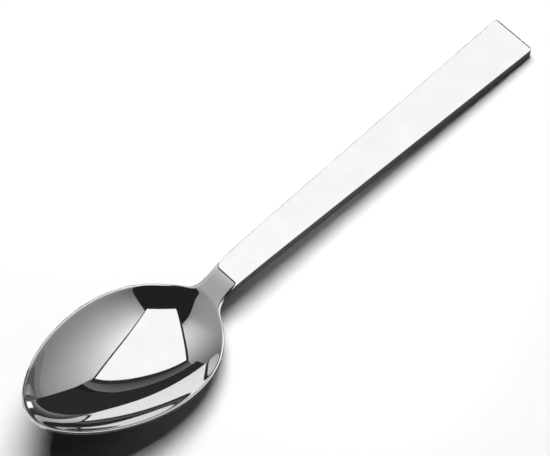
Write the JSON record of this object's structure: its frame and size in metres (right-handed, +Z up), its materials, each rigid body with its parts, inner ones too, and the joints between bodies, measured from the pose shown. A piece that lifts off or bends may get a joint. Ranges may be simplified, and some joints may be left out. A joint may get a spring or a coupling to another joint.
{
  "type": "place spoon",
  "caption": "Polished stainless place spoon with an egg-shaped bowl, a waisted neck and a flat bar handle that widens to a square end.",
  "frame": {"origin": "middle of the footprint's bounding box, on the table the spoon lies on", "axes": "+X along the spoon towards the tip of the bowl, +Y across the bowl, +Z up from the table"},
  "size_m": [0.179, 0.0394, 0.0239],
  "materials": {
    "bowl_steel": "mirror-polished stainless steel",
    "handle_steel": "mirror-polished stainless steel",
    "braze_metal": "silver brazing metal, as it flowed"
  },
  "bodies": {
    "root": {"bowl": "bowl_steel", "handle": "handle_steel", "braze_film": "braze_metal"}
  },
  "joints": []
}
